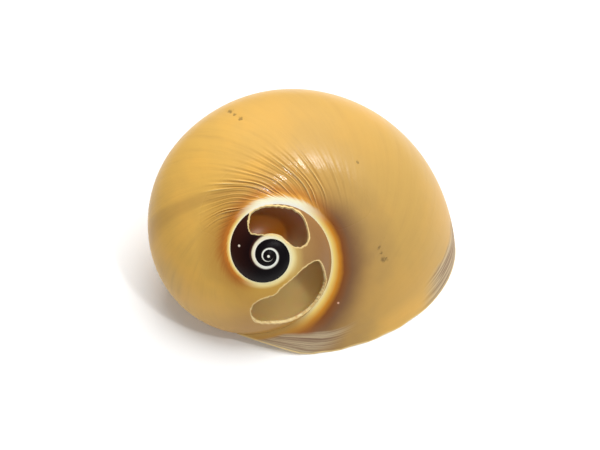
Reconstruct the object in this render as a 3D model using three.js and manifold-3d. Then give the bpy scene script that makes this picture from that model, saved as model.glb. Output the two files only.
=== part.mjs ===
// Moon snail shell lying on its mouth: millimetres, +Z up, the lip edge on z = 0.
// One coiled wall grows round an axis that leans towards -Y, and the apex looks up and forward.
import * as THREE from 'three';
import { LoftGeometry } from 'three/addons/geometries/LoftGeometry.js';
import { mergeVertices } from 'three/addons/utils/BufferGeometryUtils.js';
import Module from 'manifold-3d';

const radians = THREE.MathUtils.degToRad;

// Spiral of the suture, the seam where each whorl sits on the one before it.
// Growth is counted in turns, clockwise seen from the apex; at turn 0 the spiral faces right.
const SUTURE_RADIUS = 12.7;
const GROWTH_PER_TURN = 1.171;
const GROWTH_RISE = 0.0685;
const FIRST_TURN = -3.25;
const LAST_TURN = 1 / 3;
const WHORLS_BELOW = 6;

// Cross-section of a whorl, an egg-shaped oval in suture radii; angle 0 is its outer side.
const HALF_WIDTH = 1.753;
const HALF_HEIGHT_ABOVE = 1.032;
const HALF_HEIGHT_BELOW = 1.33;
const SECTION_TILT = radians(-15.2);
const SUTURE_ANGLE = radians(114.75);
const PILLAR_ANGLE = radians(-128);
const SEAM_LAP = radians(2);

// The wall thickens as the shell grows, and fills the tiny first whorl.
const WALL_AT_APEX = 0.3;
const WALL_PER_RADIUS = 0.05;
const WALL_LIMIT = 0.4;

// Pillar round the axis and the bead that closes the apex.
const PILLAR_TOP = -1;
const PILLAR_BOTTOM = -34;
const PILLAR_TAPER = 0.1;
const BEAD_RADIUS = 2.4;
const BEAD_DEPTH = 2.32;

// Two broken windows in the whorl above the body whorl: outline and floor, seen along the axis.
const UPPER_WINDOW = {
  floor: -4.6,
  outline: [
    [-3.6, 7.3], [-3.5, 4.7], [-1.4, 4.2], [1.9, 4], [3.6, 2.6], [5, 1.7],
    [6.6, 1.5], [7.9, 2.5], [7.9, 4.6], [7, 7.1], [4.8, 8.8], [0.4, 9.4], [-2.5, 8.6],
  ],
};
const LOWER_WINDOW = {
  floor: -7.6,
  outline: [
    [10, -1.5], [11.4, -4], [11.6, -7.4], [9.2, -11.6], [5, -14.1], [0, -14.3],
    [-2.5, -13.6], [-3, -10.8], [-1.3, -9.1], [1.5, -8.1], [2.6, -6.8], [5.4, -4.4], [7.4, -2.5],
  ],
};
const WINDOW_TOP = 2;
const OUTLINE_STEPS = 40;

// Rest on the table: the axis leans from upright, the lean's heading, and the spin about the axis.
const AXIS_LEAN = radians(41.86);
const LEAN_HEADING = radians(-83.31);
const SPIN = radians(84.57);
const APEX = new THREE.Vector3(-7.3, -13.1, 20.67);

// Callus, the smooth pad of the inner lip that plugs the pillar's lower end, as it lies on the table.
const CALLUS_CENTRE = new THREE.Vector3(-10.4, 0.3, 2);
const CALLUS_HALF_SIZE = new THREE.Vector3(5.6, 11.5, 8);
const CALLUS_HEADING = radians(6);

// The lip edge lifts off the table towards its inner end, along a plane through this point.
const LIFT_START = new THREE.Vector3(1, -24.2, 0);
const LIFT_SLOPE = radians(17);
const LIFT_FALL = radians(30);

// Facets: the steps across the wall and along the growth, finer on the large last whorl.
const OUTER_STEPS = 19;
const INNER_STEPS = 13;
const STEP_BANDS = [
  { from: FIRST_TURN, to: -2.25, step: 1 / 16 },
  { from: -2.25, to: -1.25, step: 1 / 24 },
  { from: -1.25, to: LAST_TURN, step: 1 / 36 },
];
const SEGMENT_TURNS = 0.5;
const LIP_STRETCHES = 2;
const ROUND_STEPS = 24;
const MERGE_DISTANCE = 1e-5;
const ANGLE_NUDGE = 1e-3;
const TURN_NUDGE = 1e-6;
const CUTTER_SIZE = 200;

const wasm = await Module();
wasm.setup();

// Half-width of the oval as seen along the axis, and where its outermost point lies.
const REACH_ACROSS = HALF_WIDTH * Math.cos(SECTION_TILT);
const REACH_UP = HALF_HEIGHT_ABOVE * Math.sin(SECTION_TILT);
const REACH = Math.hypot(REACH_ACROSS, REACH_UP);
const REACH_ANGLE = Math.atan2(REACH_UP, REACH_ACROSS);

function sutureRadius(turn) {
  return SUTURE_RADIUS * Math.exp(GROWTH_PER_TURN * turn + GROWTH_RISE * turn * turn);
}

// A point of the tilted oval about its own centre.
function ovalPoint(angle) {
  const height = Math.sin(angle) < 0 ? HALF_HEIGHT_BELOW : HALF_HEIGHT_ABOVE;
  const point = new THREE.Vector2(HALF_WIDTH * Math.cos(angle), height * Math.sin(angle));
  return point.rotateAround(new THREE.Vector2(), SECTION_TILT);
}

// The oval is set so that its seam point is one suture radius from the axis, at height zero.
const OVAL_CENTRE = new THREE.Vector2(1, 0).sub(ovalPoint(SUTURE_ANGLE));

function sectionPoint(angle) {
  return ovalPoint(angle).add(OVAL_CENTRE);
}

// The oval point moved inwards, square to the wall.
function innerPoint(angle, wall) {
  const along = sectionPoint(angle + ANGLE_NUDGE).sub(sectionPoint(angle - ANGLE_NUDGE)).normalize();
  return sectionPoint(angle).add(new THREE.Vector2(-along.y, along.x).multiplyScalar(wall));
}

// How far a whorl's top has dropped below its own suture where the next whorl sits on it.
function topDrop(ratio) {
  const angle = Math.acos((ratio - OVAL_CENTRE.x) / REACH) - REACH_ANGLE;
  return sectionPoint(angle).y;
}

// The suture lies on the whorl before it, which lies on the one before that, up to the apex.
function sutureHeight(turn) {
  let height = 0;
  for (let back = 1; back <= WHORLS_BELOW; back++) {
    const radius = sutureRadius(turn - back);
    height += radius * topDrop(sutureRadius(turn - back + 1) / radius);
  }
  return height;
}

// Angles from one end of an arc to the other, both ends included.
function arc(from, to, steps) {
  return Array.from({ length: steps + 1 }, (_, step) => THREE.MathUtils.lerp(from, to, step / steps));
}

// Rounds a length, so that sections on a quarter turn lie exactly in one plane.
function snap(length) {
  return Math.round(length / MERGE_DISTANCE) * MERGE_DISTANCE;
}

// Closed outline of the wall at one turn: up the outside, then back down the inside.
function wallSection(turn) {
  const radius = sutureRadius(turn);
  const wall = Math.min(WALL_AT_APEX / radius + WALL_PER_RADIUS, WALL_LIMIT);
  const outer = arc(PILLAR_ANGLE, SUTURE_ANGLE + SEAM_LAP, OUTER_STEPS).map(sectionPoint);
  const inner = arc(SUTURE_ANGLE - SEAM_LAP, PILLAR_ANGLE, INNER_STEPS)
    .map((angle) => innerPoint(angle, wall));
  const heading = -2 * Math.PI * turn;
  const height = sutureHeight(turn);
  return [...outer, ...inner].map((point) => new THREE.Vector3(
    snap(point.x * radius * Math.cos(heading)),
    snap(point.x * radius * Math.sin(heading)),
    height + point.y * radius,
  ));
}

// Turns at which the wall's section is placed.
function growthTurns() {
  const bands = STEP_BANDS.map(({ from, to, step }) => arc(from, to, Math.round((to - from) / step)));
  return [...bands.flatMap((band) => band.slice(0, -1)), LAST_TURN];
}

function toSolid(geometry) {
  const plain = new THREE.BufferGeometry().copy(geometry);
  plain.deleteAttribute('normal');
  plain.deleteAttribute('uv');
  const merged = mergeVertices(plain, MERGE_DISTANCE);
  const mesh = new wasm.Mesh({
    numProp: 3,
    vertProperties: new Float32Array(merged.attributes.position.array),
    triVerts: new Uint32Array(merged.index.array),
  });
  return new wasm.Manifold(mesh);
}

// The main body of a cut solid, without slivers that a cut may leave beside it.
function mainBody(solid) {
  const bodies = solid.decompose();
  return bodies.reduce((main, body) => (body.volume() > main.volume() ? body : main));
}

function toGeometry(solid) {
  const mesh = solid.getMesh();
  const geometry = new THREE.BufferGeometry();
  geometry.setAttribute('position', new THREE.BufferAttribute(mesh.vertProperties, mesh.numProp));
  geometry.setIndex(new THREE.BufferAttribute(mesh.triVerts, 1));
  return geometry;
}

// The coiled wall, lofted in stretches of half a turn that share their end sections.
// The stretches that carry the lip are cut along the lift plane.
function coiledWall() {
  const lifted = toSolid(belowLift().applyMatrix4(restPlacement().invert()));
  const turns = growthTurns();
  const stretches = [];
  let start = 0;
  for (let end = 1; end < turns.length; end++) {
    const full = turns[end] - turns[start] >= SEGMENT_TURNS - TURN_NUDGE;
    if (full || end === turns.length - 1) {
      stretches.push(turns.slice(start, end + 1));
      start = end;
    }
  }
  return stretches
    .map((stretch) => new LoftGeometry(stretch.map(wallSection), { capStart: true, capEnd: true }))
    .map(toSolid)
    .map((stretch, place) => (place < stretches.length - LIP_STRETCHES ? stretch : stretch.subtract(lifted)))
    .reduce((coil, stretch) => coil.add(stretch));
}

// The pillar that the whorls wind round, a slim cone along the axis.
function pillar() {
  const profile = [
    new THREE.Vector2(0, PILLAR_BOTTOM),
    new THREE.Vector2(-PILLAR_TAPER * PILLAR_BOTTOM, PILLAR_BOTTOM),
    new THREE.Vector2(-PILLAR_TAPER * PILLAR_TOP, PILLAR_TOP),
    new THREE.Vector2(0, PILLAR_TOP),
  ];
  return toSolid(new THREE.LatheGeometry(profile, ROUND_STEPS).rotateX(Math.PI / 2));
}

function ball(radius) {
  return new THREE.SphereGeometry(radius, ROUND_STEPS, ROUND_STEPS / 2);
}

// The callus, a long egg shape half sunk in the base of the shell.
function callus() {
  const pad = ball(1).scale(...CALLUS_HALF_SIZE.toArray()).rotateZ(CALLUS_HEADING);
  return toSolid(pad.translate(...CALLUS_CENTRE.toArray()));
}

// Straight cutter along the axis for one broken window.
function windowCutter({ floor, outline }) {
  const corners = outline.map(([x, y]) => new THREE.Vector3(x, y, 0));
  const rim = new THREE.CatmullRomCurve3(corners, true).getPoints(OUTLINE_STEPS).slice(0, -1);
  const shape = new THREE.Shape(rim.map((point) => new THREE.Vector2(point.x, point.y)));
  const block = new THREE.ExtrudeGeometry(shape, { depth: WINDOW_TOP - floor, bevelEnabled: false });
  return toSolid(block.translate(0, 0, floor));
}

// From the coil's own frame, with its axis upright, to its rest on the table.
function restPlacement() {
  const spin = new THREE.Matrix4().makeRotationZ(SPIN);
  const lean = new THREE.Matrix4().makeRotationY(AXIS_LEAN);
  const heading = new THREE.Matrix4().makeRotationZ(LEAN_HEADING);
  return heading.multiply(lean).multiply(spin).setPosition(APEX);
}

// Everything below the table level, which leaves the open mouth with its flat lip edge.
function belowTable() {
  return new THREE.BoxGeometry(CUTTER_SIZE, CUTTER_SIZE, CUTTER_SIZE).translate(0, 0, -CUTTER_SIZE / 2);
}

// The same block, raised on the side of the lip's inner end and lowered towards the back.
function belowLift() {
  const turned = new THREE.Matrix4().makeRotationFromEuler(new THREE.Euler(-LIFT_FALL, LIFT_SLOPE, 0));
  return belowTable().applyMatrix4(turned.setPosition(LIFT_START));
}

const coil = coiledWall()
  .add(pillar())
  .add(toSolid(ball(BEAD_RADIUS).translate(0, 0, -BEAD_DEPTH)))
  .subtract(windowCutter(UPPER_WINDOW))
  .subtract(windowCutter(LOWER_WINDOW));
const whole = toSolid(toGeometry(coil).applyMatrix4(restPlacement()))
  .add(callus())
  .subtract(toSolid(belowTable()));

const shell = new THREE.Mesh(
  toGeometry(mainBody(whole)),
  new THREE.MeshStandardMaterial({ color: 0xc8a15a, roughness: 0.38, metalness: 0 }),
);
shell.name = 'shell';

const moonSnail = new THREE.Group();
moonSnail.add(shell);

export default moonSnail;
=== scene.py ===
"""Moon snail shell lying on its mouth: the finished surface, floor, light and camera.

The shell is a whorl section carried round a growing spiral. Lengths are in millimetres, in the coil's own frame
with the axis upright and the apex at the origin. to_rest() leans the coil, and join_parts() turns it to metres.
"""
import math

import bmesh
import bpy
import numpy as np
from mathutils import Matrix, Vector


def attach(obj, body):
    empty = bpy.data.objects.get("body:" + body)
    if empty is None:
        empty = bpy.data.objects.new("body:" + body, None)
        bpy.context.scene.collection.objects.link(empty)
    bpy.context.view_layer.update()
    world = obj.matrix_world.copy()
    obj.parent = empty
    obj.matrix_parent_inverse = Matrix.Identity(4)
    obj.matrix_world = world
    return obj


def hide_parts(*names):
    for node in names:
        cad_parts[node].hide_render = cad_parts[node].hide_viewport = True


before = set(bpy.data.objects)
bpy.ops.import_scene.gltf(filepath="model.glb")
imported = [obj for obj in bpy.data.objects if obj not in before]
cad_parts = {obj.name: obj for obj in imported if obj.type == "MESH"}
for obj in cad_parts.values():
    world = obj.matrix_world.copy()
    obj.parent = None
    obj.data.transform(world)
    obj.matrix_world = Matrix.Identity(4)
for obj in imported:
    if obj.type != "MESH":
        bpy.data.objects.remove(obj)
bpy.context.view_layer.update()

MM = 0.001
TAU = 2 * math.pi

# Spiral of the suture, in turns clockwise from the apex; at turn 0 the spiral faces right.
SUTURE_RADIUS = 12.7
GROWTH_PER_TURN = 1.171
GROWTH_RISE = 0.0685
FIRST_TURN = -4.0
LAST_TURN = 1 / 3
WHORLS_BELOW = 6

# Whorl section, an egg-shaped oval in suture radii; angle 0 is its outer side.
HALF_WIDTH = 1.753
HALF_HEIGHT_ABOVE = 1.032
HALF_HEIGHT_BELOW = 1.33
SECTION_TILT = math.radians(-15.2)
SUTURE_ANGLE = math.radians(114.75)
PILLAR_ANGLE = math.radians(-128)
SEAM_LAP = math.radians(2)

# Wall thickness.
WALL_AT_APEX = 0.3
WALL_PER_RADIUS = 0.05
WALL_LIMIT = 0.4

# Pillar on the axis and bead at the apex.
PILLAR_TOP = -1.0
PILLAR_FOOT = 1.4
PILLAR_TAPER = 0.1
BEAD_RADIUS = 2.4
BEAD_DEPTH = 2.32

# Broken windows: outline seen along the axis, and the depth that the break reaches.
UPPER_WINDOW = (-4.6, [
    (-3.6, 7.3), (-3.5, 4.7), (-1.4, 4.2), (1.9, 4.0), (3.6, 2.6), (5.0, 1.7), (6.6, 1.5),
    (7.9, 2.5), (7.9, 4.6), (7.0, 7.1), (4.8, 8.8), (0.4, 9.4), (-2.5, 8.6)])
LOWER_WINDOW = (-7.6, [
    (10.0, -1.5), (11.4, -4.0), (11.6, -7.4), (9.2, -11.6), (5.0, -14.1), (0.0, -14.3), (-2.5, -13.6),
    (-3.0, -10.8), (-1.3, -9.1), (1.5, -8.1), (2.6, -6.8), (5.4, -4.4), (7.4, -2.5)])
OUTLINE_STEPS = 12

# Rest on the table.
AXIS_LEAN = math.radians(41.86)
LEAN_HEADING = math.radians(-83.31)
SPIN = math.radians(84.57)
APEX = np.array([-7.3, -13.1, 20.67])

# Plane that lifts the lip's inner end, and the callus pad under the pillar, both on the table.
LIFT_START = np.array([1.0, -24.2, 0.0])
LIFT_SLOPE = math.radians(17)
LIFT_FALL = math.radians(30)
LIFT_FROM_TURN = -0.25
CALLUS_CENTRE = np.array([-10.4, 0.3, 2.0])
CALLUS_HALF_SIZE = np.array([5.6, 11.5, 8.0])
CALLUS_HEADING = math.radians(6)
CALLUS_ROUNDING = 1.0

# Section angle above which the lip's edge runs on straight to the suture.
LIP_TOP_ANGLE = math.radians(113)

# Heights of the relief, and of the small chips along the lip.
WRINKLE_HEIGHT = 0.16
FAINT_WRINKLE_HEIGHT = 0.016
SWELL_HEIGHT = 0.06
CHIP_HEIGHT = 0.12

# Small pits, at rest: place, radius and depth.
PITS = [((10.31, 5.67, 25.44), 0.45, 0.22), ((14.7, -7.54, 14.67), 0.5, 0.2), ((15.41, -9.21, 12.72), 0.75, 0.3),
        ((15.0, -8.25, 13.85), 0.4, 0.15), ((16.2, -8.9, 12.5), 0.45, 0.15),
        ((-14.94, 14.71, 29.96), 0.9, 0.22), ((-14.0, 13.6, 30.4), 0.5, 0.2), ((-12.78, 12.3, 30.77), 0.6, 0.22)]

# Grid of the wall: columns that follow the growth lines as (from, to, steps), and rows down the section.
COLUMN_SPANS = [(FIRST_TURN, -1.95, 100), (-1.95, -0.98, 190), (-0.98, 0.012, 440)]
WALL_ROWS = 64
ROW_CROWDING = 1.5
NUDGE = 1e-4
MERGE_DISTANCE = 1e-8
SHARP_ANGLE = math.radians(55)


def smooth_step(low, high, value):
    """0 below low, 1 above high, and an even S-curve between them."""
    share = np.clip((value - low) / (high - low), 0, 1)
    return share * share * (3 - 2 * share)


# The coil

def suture_radius(turn):
    """Distance of the suture from the axis: an exponential whose rate itself rises with growth."""
    return SUTURE_RADIUS * np.exp(GROWTH_PER_TURN * turn + GROWTH_RISE * turn * turn)


def oval(angle):
    """Point of the tilted oval about its own centre, flatter above its long axis than below."""
    height = np.where(np.sin(angle) < 0, HALF_HEIGHT_BELOW, HALF_HEIGHT_ABOVE)
    along, across = HALF_WIDTH * np.cos(angle), height * np.sin(angle)
    c, s = math.cos(SECTION_TILT), math.sin(SECTION_TILT)
    return along * c - across * s, along * s + across * c


SEAM_X, SEAM_Y = oval(SUTURE_ANGLE)
CENTRE_X, CENTRE_Y = 1 - SEAM_X, -SEAM_Y
REACH_ACROSS = HALF_WIDTH * math.cos(SECTION_TILT)
REACH_UP = HALF_HEIGHT_ABOVE * math.sin(SECTION_TILT)


def section(angle):
    """The oval shifted so that its seam point is one suture radius out, at height zero."""
    x, y = oval(angle)
    return x + CENTRE_X, y + CENTRE_Y


def top_drop(ratio):
    """Height of a whorl's top, ratio suture radii from the axis, where the next whorl sits on it."""
    reach = math.hypot(REACH_ACROSS, REACH_UP)
    angle = np.arccos((ratio - CENTRE_X) / reach) - math.atan2(REACH_UP, REACH_ACROSS)
    return section(angle)[1]


def suture_height(turn):
    """Sum of the drops of all the whorls that a suture rests on, up to the apex."""
    height = np.zeros_like(turn)
    for back in range(1, WHORLS_BELOW + 1):
        radius = suture_radius(turn - back)
        height = height + radius * top_drop(suture_radius(turn - back + 1) / radius)
    return height


def coil_point(turn, angle):
    """Section point at that angle, scaled by the suture radius and swung round the axis by the turn."""
    x, y = section(angle)
    radius = suture_radius(turn)
    swing = -TAU * turn
    out = x * radius
    return np.stack([out * np.cos(swing), out * np.sin(swing), suture_height(turn) + y * radius], -1)


def coil_normal(turn, angle):
    """Outward normal: cross product of the surface's slopes along the growth and down the section."""
    along = coil_point(turn + NUDGE, angle) - coil_point(turn - NUDGE, angle)
    down = coil_point(turn, angle - NUDGE) - coil_point(turn, angle + NUDGE)
    normal = np.cross(along, down)
    return normal / np.linalg.norm(normal, axis=-1, keepdims=True)


def wall_thickness(turn):
    """Wall that thickens with the suture radius, limited in the tiny first whorls."""
    radius = suture_radius(turn)
    return np.minimum(WALL_AT_APEX + WALL_PER_RADIUS * radius, WALL_LIMIT * radius)


def rest_rotation():
    """Spin about the axis, lean from upright, then the lean's heading."""
    spin, lean = Matrix.Rotation(SPIN, 3, "Z"), Matrix.Rotation(AXIS_LEAN, 3, "Y")
    return np.array(Matrix.Rotation(LEAN_HEADING, 3, "Z") @ lean @ spin)


REST = rest_rotation()
LIFT_UP = np.array(Matrix.Rotation(-LIFT_FALL, 3, "X") @ Matrix.Rotation(LIFT_SLOPE, 3, "Y") @ Vector((0, 0, 1)))


def to_rest(points):
    """Coil frame to the rest frame, still in millimetres."""
    return points @ REST.T + APEX


def section_arc():
    """Angles down the section and the arc length from the suture to each, in suture radii."""
    angles = np.linspace(SUTURE_ANGLE + SEAM_LAP, PILLAR_ANGLE, 800)
    x, y = section(angles)
    steps = np.hypot(np.diff(x), np.diff(y))
    arc = np.concatenate([[0], np.cumsum(steps)])
    return angles, arc - np.interp(-SUTURE_ANGLE, -angles, arc)


ARC_ANGLES, ARC_LENGTHS = section_arc()


def across_whorl(angle):
    """Arc length from the suture down the section, in suture radii."""
    return np.interp(-angle, -ARC_ANGLES, ARC_LENGTHS)


def lip_line():
    """Turn at which the table or the lift plane first cuts the last whorl, by section angle."""
    angles = np.linspace(LIP_TOP_ANGLE, PILLAR_ANGLE, 60)
    turns = np.linspace(-0.3, 0.36, 1200)
    rest = to_rest(coil_point(turns[None, :], angles[:, None]))
    above = np.minimum(rest[..., 2], (rest - LIFT_START) @ LIFT_UP)
    crossing = turns[np.argmax((above < 0) & (turns > -0.2), axis=1)]
    top = SUTURE_ANGLE + SEAM_LAP
    slope = (crossing[0] - crossing[2]) / (angles[0] - angles[2])
    top_crossing = crossing[0] + slope * (top - LIP_TOP_ANGLE)
    return np.concatenate([[top], angles]), np.concatenate([[top_crossing], crossing])


LIP_ANGLES, LIP_TURNS = lip_line()


def lip_turn(angle):
    """Turn of the lip at this section angle."""
    return np.interp(-angle, -LIP_ANGLES, LIP_TURNS)


def growth_stage(turn, angle):
    """Turns since the lip stood at this point: every growth line has the shape of the lip now."""
    return turn - lip_turn(angle)


# Surface relief

def growth_wrinkles(growth, across):
    """Two rows of waves of uneven spacing and strength along the growth, with crests narrower than troughs."""
    bend = 0.9 * np.sin(3.1 * across + TAU * 4 * growth)
    wide = np.sin(TAU * 67 * growth + 1.9 * np.sin(TAU * 9 * growth) + bend)
    fine = np.sin(TAU * 118 * growth + 2.4 * np.sin(TAU * 6 * growth + 1) - bend)
    strength = 0.7 + 0.5 * np.sin(TAU * 13.7 * growth + 2 * across) * np.sin(TAU * 5.1 * growth + 1)
    wave = strength * (0.55 * wide + 0.45 * fine)
    return wave + 0.35 * wave * wave - 0.2


def wrinkle_band(across):
    """1 in a band below the suture, easing to 0 at the suture and further down the whorl."""
    return smooth_step(0.1, 0.32, across) * (1 - smooth_step(0.6, 1.35, across))


def wrinkled_zone(turn, angle):
    """The waves where they stand out, in a band below the suture over about a third of a turn."""
    across = across_whorl(angle)
    stretch = smooth_step(-0.46, -0.34, turn) * (1 - smooth_step(-0.17, -0.06, turn))
    return wrinkle_band(across) * stretch * growth_wrinkles(growth_stage(turn, angle), across)


def relief(turn, angle):
    """Height of the wrinkles below the suture plus slow swells of the whole wall, less a round dip at each pit."""
    across = across_whorl(angle)
    growth = growth_stage(turn, angle)
    young = smooth_step(-0.7, -0.5, turn)
    faint = wrinkle_band(across) * young * growth_wrinkles(growth, across)
    wrinkles = WRINKLE_HEIGHT * wrinkled_zone(turn, angle) + FAINT_WRINKLE_HEIGHT * faint
    swells = SWELL_HEIGHT * np.sin(TAU * 5.3 * growth + 0.8 * across) * np.sin(1.7 * across + TAU * 1.3 * turn)
    rest = to_rest(coil_point(turn, angle))
    pits = 0
    for centre, radius, depth in PITS:
        pits = pits + depth * np.exp(-((rest - np.array(centre)) ** 2).sum(-1) / (0.6 * radius) ** 2)
    return wrinkles + swells * young * smooth_step(0.2, 0.8, across) - pits


# Trimming

def closed_spline(corners):
    """Closed Catmull-Rom curve: each stretch is a cubic through its two middle corners of four."""
    points = np.array(corners)
    share = np.linspace(0, 1, OUTLINE_STEPS, endpoint=False)[None, :, None]
    p0, p1, p2, p3 = (np.roll(points, shift, axis=0)[:, None, :] for shift in (1, 0, -1, -2))
    curve = 0.5 * (2 * p1 + (p2 - p0) * share + (2 * p0 - 5 * p1 + 4 * p2 - p3) * share ** 2
                   + (3 * p1 - p0 - 3 * p2 + p3) * share ** 3)
    return curve.reshape(-1, 2)


def distance_outside(x, y, outline):
    """Distance from a closed outline, positive outside it: nearest of its edges, signed by crossings."""
    start, end = outline, np.roll(outline, -1, axis=0)
    edge = end - start
    px, py = x[..., None] - start[:, 0], y[..., None] - start[:, 1]
    share = np.clip((px * edge[:, 0] + py * edge[:, 1]) / (edge ** 2).sum(1), 0, 1)
    nearest = np.hypot(px - share * edge[:, 0], py - share * edge[:, 1]).min(-1)
    spans = (start[:, 1] > y[..., None]) != (end[:, 1] > y[..., None])
    rise = np.where(edge[:, 1] == 0, 1, edge[:, 1])
    crossing = spans & (px < py / rise * edge[:, 0])
    return np.where(crossing.sum(-1) % 2 == 1, -nearest, nearest)


def beyond_window(points, window):
    """Positive outside the window's outline or below the depth of the break."""
    floor, corners = window
    outline = closed_spline(corners)
    low, high = outline.min(0) - 1, outline.max(0) + 1
    near = np.all((points[..., :2] > low) & (points[..., :2] < high), -1) & (points[..., 2] > floor - 1)
    outside = np.ones(points.shape[:-1])
    x, y = points[near, 0], points[near, 1]
    jagged = 0.07 * np.sin(5.1 * x + 2 * y) + 0.05 * np.sin(9.7 * y - 4 * x)
    outside[near] = distance_outside(x, y, outline) + jagged
    return np.maximum(outside, floor - points[..., 2])


def kept_side(turn, angle):
    """Positive where the wall is whole: above the table, above the lifted lip end and off the windows."""
    points = coil_point(turn, angle)
    rest = to_rest(points)
    chips = CHIP_HEIGHT * (1 + np.sin(0.9 * rest[..., 0] + 1.3 * np.sin(0.35 * rest[..., 1])))
    lifted = np.where(turn < LIFT_FROM_TURN, 1, (rest - LIFT_START) @ LIFT_UP)
    ended = (LAST_TURN - turn) * SUTURE_RADIUS
    levels = [rest[..., 2] - chips, lifted, ended]
    levels += [beyond_window(points, window) for window in (UPPER_WINDOW, LOWER_WINDOW)]
    return np.minimum.reduce(levels)


def snap_grid(turn, angle):
    """Moves the node nearest to the trim line on each crossed grid edge to the line; returns the signs."""
    level = kept_side(turn, angle)
    best = np.full(level.shape, 0.5)
    new_turn, new_angle = turn.copy(), angle.copy()
    for axis, shift in ((0, 1), (0, -1), (1, 1), (1, -1)):
        other = np.roll(level, -shift, axis)
        share = np.where(level * other < 0, level / np.where(level == other, 1, level - other), 1)
        edge = [slice(None), slice(None)]
        edge[axis] = -1 if shift == 1 else 0
        share[tuple(edge)] = 1
        moved = share <= best
        best = np.where(moved, share, best)
        new_turn = np.where(moved, turn + share * (np.roll(turn, -shift, axis) - turn), new_turn)
        new_angle = np.where(moved, angle + share * (np.roll(angle, -shift, axis) - angle), new_angle)
    snapped = (new_turn != turn) | (new_angle != angle)
    return new_turn, new_angle, np.where(snapped, 0, np.sign(level))


def kept_faces(sign):
    """Quads whose corners are all kept, and triangles where the trim line cuts off one corner."""
    index = np.arange(sign.size).reshape(sign.shape)
    corners = [index[:-1, :-1], index[:-1, 1:], index[1:, 1:], index[1:, :-1]]
    signs = np.stack([sign.ravel()[corner] for corner in corners], -1)
    corners = np.stack(corners, -1)
    quads = corners[(signs >= 0).all(-1) & (signs > 0).any(-1)]
    triangles = []
    for cut in range(4):
        ring = [(cut + step) % 4 for step in (1, 2, 3)]
        lost = (signs[..., cut] < 0) & (signs[..., ring[0]] == 0) & (signs[..., ring[1]] > 0)
        lost &= signs[..., ring[2]] == 0
        triangles.append(corners[lost][:, ring])
    return quads, np.concatenate(triangles)


def rim_quads(quads, triangles, count):
    """Quads that join each open edge of the outer faces to its twin on the inner faces."""
    edges = [np.stack([faces, np.roll(faces, -1, axis=1)], -1).reshape(-1, 2) for faces in (quads, triangles)]
    edges = np.concatenate(edges)
    forward = edges[:, 0] * count + edges[:, 1]
    backward = edges[:, 1] * count + edges[:, 0]
    start, end = edges[~np.isin(forward, backward)].T
    return np.stack([end, start, start + count, end + count], -1)


# Mesh parts: points at rest in millimetres, faces with their material's number, and the values of COORDINATES

OUTSIDE, INSIDE, BROKEN, CALLUS = range(4)
COORDINATES = {"turn": 0.0, "across": 0.0, "growth": 0.0, "wrinkle": 0.0, "edge": 2.0}


def mesh_part(points, face_groups, **given):
    """One part of the shell's mesh: (faces, material) pairs, and coordinates where they are not the usual ones."""
    coordinates = {key: given.get(key, np.full(len(points), usual)) for key, usual in COORDINATES.items()}
    return {"points": points, "groups": face_groups, **coordinates}


def wall_part():
    """The coiled wall: the outer grid with relief, the same grid moved in by the thickness, and the rims."""
    columns = [np.linspace(start, end, steps, endpoint=False) for start, end, steps in COLUMN_SPANS]
    columns = np.concatenate(columns + [[COLUMN_SPANS[-1][1]]])
    rows = np.linspace(0, 1, WALL_ROWS) ** ROW_CROWDING
    rows = SUTURE_ANGLE + SEAM_LAP + rows * (PILLAR_ANGLE - SUTURE_ANGLE - SEAM_LAP)
    stage, angle = np.meshgrid(columns, rows, indexing="ij")
    turn, angle, sign = snap_grid(stage + lip_turn(angle), angle)
    normal = coil_normal(turn, angle)
    middle = coil_point(turn, angle)
    outer = to_rest(middle + normal * relief(turn, angle)[..., None])
    inner = to_rest(middle - normal * wall_thickness(turn)[..., None])
    inner[..., 2] = np.maximum(inner[..., 2], 0)
    count = sign.size
    quads, triangles = kept_faces(sign)
    rims = rim_quads(quads, triangles, count)
    groups = [(quads, OUTSIDE), (triangles, OUTSIDE), (quads[:, ::-1] + count, INSIDE),
              (triangles[:, ::-1] + count, INSIDE), (rims, BROKEN)]
    points = np.concatenate([outer.reshape(-1, 3), inner.reshape(-1, 3)])
    coordinates = {"turn": turn, "across": across_whorl(angle), "growth": growth_stage(turn, angle),
                   "wrinkle": wrinkled_zone(turn, angle), "edge": np.clip(kept_side(turn, angle), 0, 2)}
    return mesh_part(points, groups, **{key: np.tile(values.ravel(), 2) for key, values in coordinates.items()})


def round_grid_faces(around, along):
    """Quads of a grid that closes on itself around its first direction."""
    index = np.arange(around * along).reshape(around, along)
    ahead = np.roll(index, -1, axis=0)
    return np.stack([index[:, :-1], ahead[:, :-1], ahead[:, 1:], index[:, 1:]], -1).reshape(-1, 4)


def ball(around=40, along=24):
    """Unit ball: sine and cosine of two angles, poles along Z."""
    heading = np.linspace(0, TAU, around, endpoint=False)[:, None]
    polar = np.linspace(math.pi, 0, along)[None, :]
    ones = np.ones_like(heading)
    points = np.stack([np.sin(polar) * np.cos(heading), np.sin(polar) * np.sin(heading), np.cos(polar) * ones], -1)
    return points.reshape(-1, 3), round_grid_faces(around, along)


def bead_part():
    """The bead that closes the apex, a ball just below it, with its distance from the axis as across."""
    points, faces = ball()
    points = points * BEAD_RADIUS - np.array([0, 0, BEAD_DEPTH])
    across = np.hypot(points[:, 0], points[:, 1])
    turn = np.full(len(points), FIRST_TURN)
    return mesh_part(to_rest(points), [(faces, OUTSIDE)], turn=turn, across=across, growth=turn)


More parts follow.
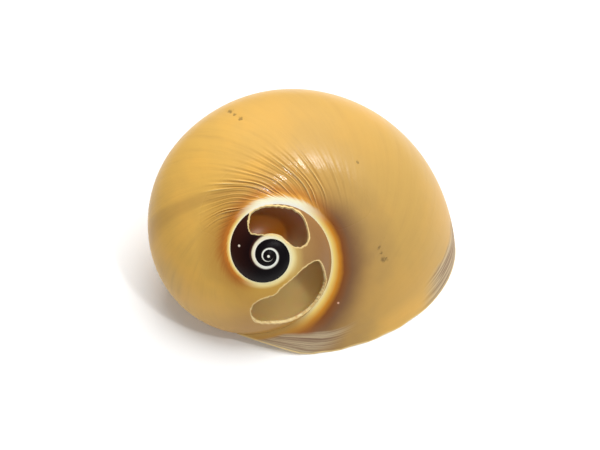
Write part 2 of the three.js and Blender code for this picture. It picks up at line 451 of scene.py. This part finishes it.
def pillar_part(around=32, along=20):
    """The pillar, a slim cone along the axis: rings from its foot in the callus to its tip, closed at both ends."""
    heading = np.linspace(0, TAU, around, endpoint=False)[:, None]
    cosine, sine = np.cos(heading), np.sin(heading)
    table = (PILLAR_FOOT - APEX[2]) / (REST[2, 2] - PILLAR_TAPER * (REST[2, 0] * cosine + REST[2, 1] * sine))
    share = np.concatenate([[0], np.linspace(0, 1, along - 2), [1]])[None, :]
    height = table + share * (PILLAR_TOP - table)
    radius = -PILLAR_TAPER * height
    height[:, 0] = (PILLAR_FOOT - APEX[2]) / REST[2, 2]
    radius[:, [0, -1]] = 0
    points = np.stack([radius * cosine, radius * sine, height], -1).reshape(-1, 3)
    return mesh_part(to_rest(points), [(round_grid_faces(around, along), INSIDE)])


def callus_part():
    """The callus, a long egg half sunk in the base; its height eases to zero where it would pass the table."""
    points, faces = ball(72, 48)
    points = points * CALLUS_HALF_SIZE
    c, s = math.cos(CALLUS_HEADING), math.sin(CALLUS_HEADING)
    points[:, :2] = points[:, :2] @ np.array([[c, s], [-s, c]])
    points = points + CALLUS_CENTRE
    points[:, 2] = 0.5 * (points[:, 2] + np.hypot(points[:, 2], CALLUS_ROUNDING))
    return mesh_part(points, [(faces, CALLUS)])


def join_parts(name, parts, materials):
    """One mesh of all the parts, without unused points, with its coordinates as point attributes."""
    starts = np.cumsum([0] + [len(part["points"]) for part in parts])
    points = np.concatenate([part["points"] for part in parts]) * MM
    loops, sizes, slots = [], [], []
    for part, start in zip(parts, starts):
        for faces, slot in part["groups"]:
            loops.append((faces + start).ravel())
            sizes.append(np.full(len(faces), faces.shape[1]))
            slots.append(np.full(len(faces), slot))
    loops, sizes, slots = (np.concatenate(values).astype(np.int32) for values in (loops, sizes, slots))
    used, loops = np.unique(loops, return_inverse=True)
    mesh = bpy.data.meshes.new(name)
    mesh.vertices.add(len(used))
    mesh.vertices.foreach_set("co", points[used].astype(np.float32).ravel())
    mesh.loops.add(len(loops))
    mesh.loops.foreach_set("vertex_index", loops.astype(np.int32))
    mesh.polygons.add(len(sizes))
    mesh.polygons.foreach_set("loop_start", np.concatenate([[0], np.cumsum(sizes)[:-1]]).astype(np.int32))
    mesh.polygons.foreach_set("material_index", slots)
    for key in COORDINATES:
        values = np.concatenate([part[key] for part in parts])[used]
        mesh.attributes.new(key, "FLOAT", "POINT").data.foreach_set("value", values.astype(np.float32))
    mesh.update(calc_edges=True)
    mesh.validate()
    shaped = bmesh.new()
    shaped.from_mesh(mesh)
    bmesh.ops.remove_doubles(shaped, verts=shaped.verts, dist=MERGE_DISTANCE)
    shaped.to_mesh(mesh)
    shaped.free()
    mesh.shade_smooth()
    mesh.set_sharp_from_angle(angle=SHARP_ANGLE)
    for material in materials:
        mesh.materials.append(material)
    piece = bpy.data.objects.new(name, mesh)
    bpy.context.collection.objects.link(piece)
    return piece


# Materials

class NodeBench:
    """Adds nodes to one material and links them."""

    def __init__(self, name):
        self.material = bpy.data.materials.new(name)
        self.material.use_nodes = True
        self.tree = self.material.node_tree
        self.shader = self.tree.nodes["Principled BSDF"]

    def node(self, kind, settings=None, inputs=None):
        made = self.tree.nodes.new(kind)
        for key, value in (settings or {}).items():
            setattr(made, key, value)
        for key, value in (inputs or {}).items():
            self.put(made.inputs[key], value)
        return made

    def put(self, socket, value):
        if isinstance(value, bpy.types.NodeSocket):
            self.tree.links.new(value, socket)
        else:
            socket.default_value = value

    def coordinate(self, name):
        return self.node("ShaderNodeAttribute", {"attribute_name": name}).outputs["Fac"]

    def object_space(self):
        return self.node("ShaderNodeTexCoord").outputs["Object"]

    def maths(self, operation, *values):
        made = self.node("ShaderNodeMath", {"operation": operation})
        for socket, value in zip(made.inputs, values):
            self.put(socket, value)
        return made.outputs[0]

    def span(self, value, low, high):
        settings = {"interpolation_type": "SMOOTHSTEP"}
        inputs = {"Value": value, "From Min": low, "From Max": high}
        return self.node("ShaderNodeMapRange", settings, inputs).outputs[0]

    def bump_between(self, value, rise, top, fall, end):
        up = self.span(value, rise, top)
        return self.maths("SUBTRACT", up, self.span(value, fall, end))

    def noise(self, vector, scale, detail=3.0, roughness=0.55):
        inputs = {"Vector": vector, "Scale": scale, "Detail": detail, "Roughness": roughness}
        return self.node("ShaderNodeTexNoise", None, inputs).outputs[0]

    def vector(self, x, y, z):
        return self.node("ShaderNodeCombineXYZ", None, {0: x, 1: y, 2: z}).outputs[0]

    def mix(self, share, first, second, blend="MIX"):
        made = self.node("ShaderNodeMix", {"data_type": "RGBA", "blend_type": blend})
        for socket, value in zip((made.inputs[0], made.inputs[6], made.inputs[7]), (share, first, second)):
            self.put(socket, value)
        return made.outputs[2]

    def ramp(self, value, stops):
        made = self.node("ShaderNodeValToRGB", None, {0: value})
        band = made.color_ramp
        while len(band.elements) < len(stops):
            band.elements.new(1.0)
        for element, (place, colour) in zip(band.elements, stops):
            element.position = place
            element.color = (*colour, 1)
        return made.outputs[0]


def rgb(red, green, blue):
    """Linear colour from the 0 to 255 values of a screen colour."""
    return tuple(((c / 255 + 0.055) / 1.055) ** 2.4 if c > 10 else c / 255 / 12.92 for c in (red, green, blue))


# Colour bands from the suture outwards, by place in suture radii divided by BAND_REACH, for stages of growth.
BAND_REACH = 1.6
EYE_BAND = [(0.0, rgb(240, 242, 235)), (0.13, rgb(235, 236, 222)), (0.2, rgb(60, 46, 44)), (0.25, rgb(12, 7, 10)),
            (1.0, rgb(10, 5, 8))]
DARK_BAND = [(0.0, rgb(245, 240, 225)), (0.13, rgb(235, 225, 190)), (0.19, rgb(60, 26, 18)), (0.3, rgb(22, 4, 5)),
             (1.0, rgb(48, 18, 10))]
MIDDLE_BAND = [(0.0, rgb(250, 244, 205)), (0.12, rgb(244, 226, 160)), (0.24, rgb(206, 172, 100)),
               (0.45, rgb(168, 128, 74)), (1.0, rgb(150, 108, 62))]
GOLDEN_BAND = [(0.0, rgb(252, 242, 190)), (0.08, rgb(244, 220, 146)), (0.15, rgb(205, 160, 72)),
               (0.5, rgb(200, 152, 70)), (1.0, rgb(188, 140, 64))]
LEFT_BAND = [(0.0, rgb(255, 246, 206)), (0.03, rgb(246, 214, 120)), (0.07, rgb(196, 116, 30)),
             (0.14, rgb(170, 104, 34)), (0.28, rgb(192, 144, 64)), (0.6, rgb(218, 172, 82))]
TOP_BAND = [(0.0, rgb(255, 255, 244)), (0.08, rgb(255, 248, 208)), (0.12, rgb(238, 172, 76)),
            (0.17, rgb(204, 136, 58)), (0.28, rgb(206, 158, 82)), (0.75, rgb(222, 176, 90))]
RIGHT_BAND = [(0.0, rgb(253, 240, 186)), (0.03, rgb(247, 214, 116)), (0.075, rgb(214, 140, 32)),
              (0.125, rgb(134, 74, 22)), (0.2, rgb(128, 90, 58)), (0.42, rgb(172, 136, 80)),
              (0.75, rgb(214, 172, 86))]
END_BAND = [(0.0, rgb(206, 166, 92)), (0.05, rgb(196, 140, 58)), (0.1, rgb(160, 98, 40)), (0.18, rgb(150, 112, 78)),
            (0.4, rgb(178, 138, 84)), (0.75, rgb(210, 166, 92))]

# Small pale marks, at rest in millimetres: place, radius and colour. The first is a pinkish spot on the shell, the
# second a painted highlight, a white glint on the dark whorls near the apex.
PALE_SPOT_AND_PAINTED_GLINT = [((6.57, -16.43, 8.05), 0.3, rgb(240, 190, 160)), ((-13.01, -11.04, 21.25), 0.32, rgb(250, 235, 215))]


def near_mark(bench, space, place, radius):
    """1 at the mark's centre, fading to 0 at its radius."""
    centre = tuple(value * MM for value in place)
    away = bench.node("ShaderNodeVectorMath", {"operation": "DISTANCE"}, {0: space, 1: centre}).outputs["Value"]
    return bench.maths("SUBTRACT", 1.0, bench.span(away, 0.3 * radius * MM, radius * MM))


def worn_margin(bench, across, growth, uneven):
    """Share of the worn grey layer beside the lip: a wedge at its inner end and a long scale at its outer side."""
    edge = bench.maths("MULTIPLY_ADD", uneven, 0.012, growth)
    inner = bench.maths("MULTIPLY", bench.span(edge, -0.06, -0.045), bench.bump_between(across, 0.05, 0.1, 0.4, 0.7))
    outer = bench.maths("MULTIPLY", bench.span(edge, -0.034, -0.024), bench.bump_between(across, 1.55, 2.0, 2.5, 3.0))
    return bench.maths("MAXIMUM", inner, outer)


def outside_material():
    """Tan outer layer: colour bands by growth stage, streaks along the growth lines, a worn lip margin, painted
    highlights on the wrinkle crests, painted shade in their troughs and on the lower right, and a painted glint near
    the apex.
    """
    bench = NodeBench("shell_outside")
    turn, across, growth, wrinkle, edge = (bench.coordinate(name) for name in COORDINATES)
    space = bench.object_space()
    blotch = bench.noise(space, 70.0)
    uneven = bench.maths("SUBTRACT", bench.noise(space, 260.0), 0.5)
    shifted = bench.maths("MULTIPLY_ADD", bench.maths("MULTIPLY", uneven, 0.25), across, across)
    streak_space = bench.vector(bench.maths("MULTIPLY", growth, 90.0), bench.maths("MULTIPLY", across, 0.6), 0.0)
    streaks = bench.noise(streak_space, 1.0, 6.0, 0.7)
    loose = bench.bump_between(turn, -0.7, -0.55, -0.22, -0.05)
    loose = bench.maths("MULTIPLY", loose, bench.span(across, 0.02, 0.2))
    loose = bench.maths("MULTIPLY", loose, bench.maths("SUBTRACT", streaks, 0.5))
    place = bench.maths("DIVIDE", bench.maths("MULTIPLY_ADD", loose, 0.35, shifted), BAND_REACH)
    colour = bench.ramp(place, EYE_BAND)
    for start, end, stops in ((-1.72, -1.5, DARK_BAND), (-1.33, -1.12, MIDDLE_BAND), (-0.98, -0.82, GOLDEN_BAND),
                              (-0.72, -0.6, LEFT_BAND), (-0.38, -0.26, TOP_BAND), (-0.17, -0.06, RIGHT_BAND),
                              (0.13, 0.2, END_BAND)):
        colour = bench.mix(bench.span(turn, start, end), colour, bench.ramp(place, stops))
    body = bench.maths("MULTIPLY", bench.span(turn, -0.75, -0.6), bench.span(across, 0.3, 0.9))
    dull = bench.maths("MULTIPLY", body, bench.maths("MULTIPLY", bench.span(streaks, 0.4, 0.8), 0.35))
    colour = bench.mix(dull, colour, (*rgb(176, 134, 74), 1))
    warm = bench.maths("MULTIPLY", body, bench.maths("MULTIPLY", bench.span(blotch, 0.42, 0.7), 0.6))
    colour = bench.mix(warm, colour, (*rgb(238, 182, 82), 1))
    # Greyer tone near the lip, partly the shell's own greyish zone and partly painted shade that darkens the right
    # and lower right.
    grey_tone_and_shade = bench.maths("MULTIPLY", bench.bump_between(growth, -0.4, -0.25, -0.04, -0.01), body)
    colour = bench.mix(bench.maths("MULTIPLY", grey_tone_and_shade, 0.55), colour, (*rgb(187, 150, 86), 1))
    shade = bench.maths("MULTIPLY", bench.bump_between(growth, -0.53, -0.505, -0.5, -0.475), body)
    colour = bench.mix(bench.maths("MULTIPLY", shade, 0.32), colour, (*rgb(150, 108, 60), 1))
    # Painted highlight: the wrinkle crests are lightened towards cream.
    crest_painted_highlight = bench.maths("MULTIPLY", bench.span(wrinkle, 0.1, 0.9), 0.55)
    colour = bench.mix(crest_painted_highlight, colour, (*rgb(255, 232, 160), 1))
    # Painted shade: the wrinkle troughs are darkened towards brown.
    trough_painted_shade = bench.maths("MULTIPLY", bench.span(bench.maths("MULTIPLY", wrinkle, -1.0), 0.15, 0.8), 0.45)
    colour = bench.mix(trough_painted_shade, colour, (*rgb(150, 98, 44), 1))
    lines = bench.noise(bench.vector(bench.maths("MULTIPLY", growth, 330.0), across, 0.0), 1.0, 3.0, 0.6)
    worn = worn_margin(bench, across, growth, uneven)
    scale = bench.mix(bench.span(lines, 0.35, 0.65), (*rgb(128, 98, 76), 1), (*rgb(204, 184, 148), 1))
    colour = bench.mix(bench.maths("MULTIPLY", worn, 0.9), colour, scale)
    wobble = bench.node("ShaderNodeTexNoise", None, {"Vector": space, "Scale": 1500.0}).outputs["Color"]
    ragged = bench.node("ShaderNodeVectorMath", {"operation": "MULTIPLY_ADD"},
                        {0: wobble, 1: (0.0012,) * 3, 2: space}).outputs[0]
    ragged = bench.node("ShaderNodeVectorMath", {"operation": "SUBTRACT"}, {0: ragged, 1: (0.0006,) * 3}).outputs[0]
    for centre, radius, _ in PITS:
        colour = bench.mix(bench.maths("MULTIPLY", near_mark(bench, ragged, centre, radius), 0.6), colour,
                           (*rgb(92, 74, 44), 1))
    chipped = bench.maths("MULTIPLY", bench.maths("SUBTRACT", 1.0, bench.span(edge, 0.1, 0.32)), 0.85)
    colour = bench.mix(chipped, colour, (*rgb(244, 216, 150), 1))
    # The second mark painted here is a highlight, a white glint, not a spot on the shell.
    for centre, radius, tint in PALE_SPOT_AND_PAINTED_GLINT:
        colour = bench.mix(near_mark(bench, space, centre, radius), colour, (*tint, 1))
    shader = bench.shader
    bench.put(shader.inputs["Base Color"], colour)
    polish = bench.maths("MULTIPLY", bench.bump_between(turn, -0.5, -0.36, -0.12, 0.0),
                         bench.bump_between(across, 0.1, 0.25, 0.75, 1.2))
    gloss = bench.node("ShaderNodeMapRange", None, {"Value": blotch, "To Min": 0.28, "To Max": 0.42}).outputs[0]
    gloss = bench.maths("MULTIPLY_ADD", polish, -0.2, gloss)
    bench.put(shader.inputs["Roughness"], bench.maths("MULTIPLY_ADD", worn, 0.2, gloss))
    height = bench.maths("ADD", bench.maths("MULTIPLY", streaks, 0.5), uneven)
    height = bench.maths("ADD", height, bench.maths("MULTIPLY", bench.maths("MULTIPLY", worn, lines), 0.8))
    bump = bench.node("ShaderNodeBump", None, {"Height": height, "Strength": 0.4, "Distance": 0.0002})
    bench.put(shader.inputs["Normal"], bump.outputs[0])
    shine = {"Value": turn, "From Min": -1.4, "From Max": -1.1, "To Min": 0.15, "To Max": 0.5}
    shine = bench.node("ShaderNodeMapRange", None, shine).outputs[0]
    bench.put(shader.inputs["Specular IOR Level"], shine)
    return bench.material


def inside_material():
    """Polished inner layer: brown behind the upper window, pale cream behind the lower window that is partly its own
    paler colour and partly painted light, greyish tan further on, with soft clouds.
    """
    bench = NodeBench("shell_inside")
    turn = bench.coordinate("turn")
    cloud = bench.noise(bench.object_space(), 120.0)
    # The pale cream behind the lower window is partly the inner wall's paler colour and partly painted light, for
    # light that comes in through the window.
    colour = bench.mix(bench.span(turn, -1.12, -0.92), (*rgb(192, 114, 14), 1), (*rgb(255, 218, 146), 1))
    colour = bench.mix(bench.span(turn, -0.5, -0.2), colour, (*rgb(206, 168, 112), 1))
    colour = bench.mix(bench.maths("MULTIPLY", cloud, 0.2), colour, (*rgb(150, 104, 52), 1))
    bench.put(bench.shader.inputs["Base Color"], colour)
    bench.shader.inputs["Roughness"].default_value = 0.35
    bench.shader.inputs["Subsurface Weight"].default_value = 0.6
    bench.shader.inputs["Subsurface Radius"].default_value = (1.0, 0.5, 0.2)
    bench.shader.inputs["Subsurface Scale"].default_value = 0.0012
    return bench.material


def broken_material():
    """Chalky cream of a broken edge, a little dirty in places."""
    bench = NodeBench("shell_broken_edge")
    grain = bench.noise(bench.object_space(), 900.0)
    colour = bench.mix(bench.span(grain, 0.35, 0.75), (*rgb(250, 228, 168), 1), (*rgb(214, 172, 104), 1))
    bench.put(bench.shader.inputs["Base Color"], colour)
    bench.shader.inputs["Roughness"].default_value = 0.6
    return bench.material


def callus_material():
    """Smooth brown callus with paler clouds."""
    bench = NodeBench("shell_callus")
    cloud = bench.noise(bench.object_space(), 160.0)
    colour = bench.mix(bench.span(cloud, 0.3, 0.8), (*rgb(140, 88, 46), 1), (*rgb(196, 148, 92), 1))
    bench.put(bench.shader.inputs["Base Color"], colour)
    bench.shader.inputs["Roughness"].default_value = 0.3
    return bench.material


def build_shell():
    """The whole shell as one piece in place of the plain solid."""
    materials = [outside_material(), inside_material(), broken_material(), callus_material()]
    parts = [wall_part(), bead_part(), pillar_part(), callus_part()]
    shell = join_parts("shell_surface", parts, materials)
    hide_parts("shell")
    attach(shell, "root")
    return shell


# Studio

CAMERA_ELEVATION = math.radians(59.57)
CAMERA_DISTANCE = 368.6
PHOTO_SIZE = (600, 450)
FOCAL_PIXELS = 1900
APEX_PIXEL = (268.5, 256.4)
SENSOR_WIDTH = 36.0

# Floor and lights, in metres and watts.
FLOOR_HALF = 1.5
LIGHT_AIM = (0, 0, 0.015)
KEY_SPOT, KEY_SIZE, KEY_WATTS = (0.13, 0.32, 0.71), 0.7, 7.9
GLINT_SPOT, GLINT_SIZE, GLINT_WATTS = (0.33, -0.16, 0.70), 0.07, 1.3
SURROUND_STRENGTH = 0.255


def build_camera():
    """Camera over the front edge; it looks past the apex so that the apex falls on its own pixel."""
    rise, run = math.sin(CAMERA_ELEVATION), math.cos(CAMERA_ELEVATION)
    back, up, right = Vector((0, -run, rise)), Vector((0, rise, run)), Vector((1, 0, 0))
    spot = Vector(APEX) * MM + back * CAMERA_DISTANCE * MM
    aside = (PHOTO_SIZE[0] / 2 - APEX_PIXEL[0]) / FOCAL_PIXELS
    above = (APEX_PIXEL[1] - PHOTO_SIZE[1] / 2) / FOCAL_PIXELS
    look = (-back + right * aside + up * above).normalized()
    right = (right - look * right.dot(look)).normalized()
    up = right.cross(look)
    data = bpy.data.cameras.new("photo_camera")
    data.sensor_width = SENSOR_WIDTH
    data.lens = SENSOR_WIDTH * FOCAL_PIXELS / PHOTO_SIZE[0]
    data.clip_start = 0.01
    camera = bpy.data.objects.new("photo_camera", data)
    camera.matrix_world = Matrix.Translation(spot) @ Matrix((right, up, -look)).transposed().to_4x4()
    bpy.context.collection.objects.link(camera)
    bpy.context.scene.camera = camera


def build_floor():
    """Plain pale floor, one wide flat sheet at the level of the lip, with a faint even glow that stands in for fill
    light.
    """
    mesh = bpy.data.meshes.new("floor")
    corners = [(x * FLOOR_HALF, y * FLOOR_HALF, 0) for x, y in ((-1, -1), (1, -1), (1, 1), (-1, 1))]
    mesh.from_pydata(corners, [], [(0, 1, 2, 3)])
    bench = NodeBench("floor_white")
    bench.shader.inputs["Base Color"].default_value = (0.9, 0.9, 0.9, 1)
    bench.shader.inputs["Roughness"].default_value = 0.7
    # The glow is painted light: a faint fill that lifts the floor's shadow and lights the shell from below.
    bench.shader.inputs["Emission Color"].default_value = (1, 1, 1, 1)
    bench.shader.inputs["Emission Strength"].default_value = 0.1
    mesh.materials.append(bench.material)
    floor = bpy.data.objects.new("floor", mesh)
    bpy.context.collection.objects.link(floor)


def add_softbox(name, spot, aim, size, watts):
    """Square soft light that faces the point it is aimed at."""
    data = bpy.data.lights.new(name, "AREA")
    data.size = size
    data.energy = watts
    lamp = bpy.data.objects.new(name, data)
    spot, aim = Vector(spot), Vector(aim)
    lamp.matrix_world = Matrix.Translation(spot) @ (aim - spot).to_track_quat("-Z", "Y").to_matrix().to_4x4()
    bpy.context.collection.objects.link(lamp)
    return lamp


def build_light():
    """Large softbox over the back, a small one over the front right for the glints, an even white surround."""
    key = add_softbox("key_softbox", KEY_SPOT, LIGHT_AIM, KEY_SIZE, KEY_WATTS)
    key.visible_glossy = False
    add_softbox("glint_softbox", GLINT_SPOT, LIGHT_AIM, GLINT_SIZE, GLINT_WATTS)
    world = bpy.data.worlds.new("studio")
    world.use_nodes = True
    world.node_tree.nodes["Background"].inputs["Color"].default_value = (1, 1, 1, 1)
    world.node_tree.nodes["Background"].inputs["Strength"].default_value = SURROUND_STRENGTH
    bpy.context.scene.world = world
    bpy.context.scene.view_settings.view_transform = "Standard"


build_camera()
build_shell()
build_floor()
build_light()
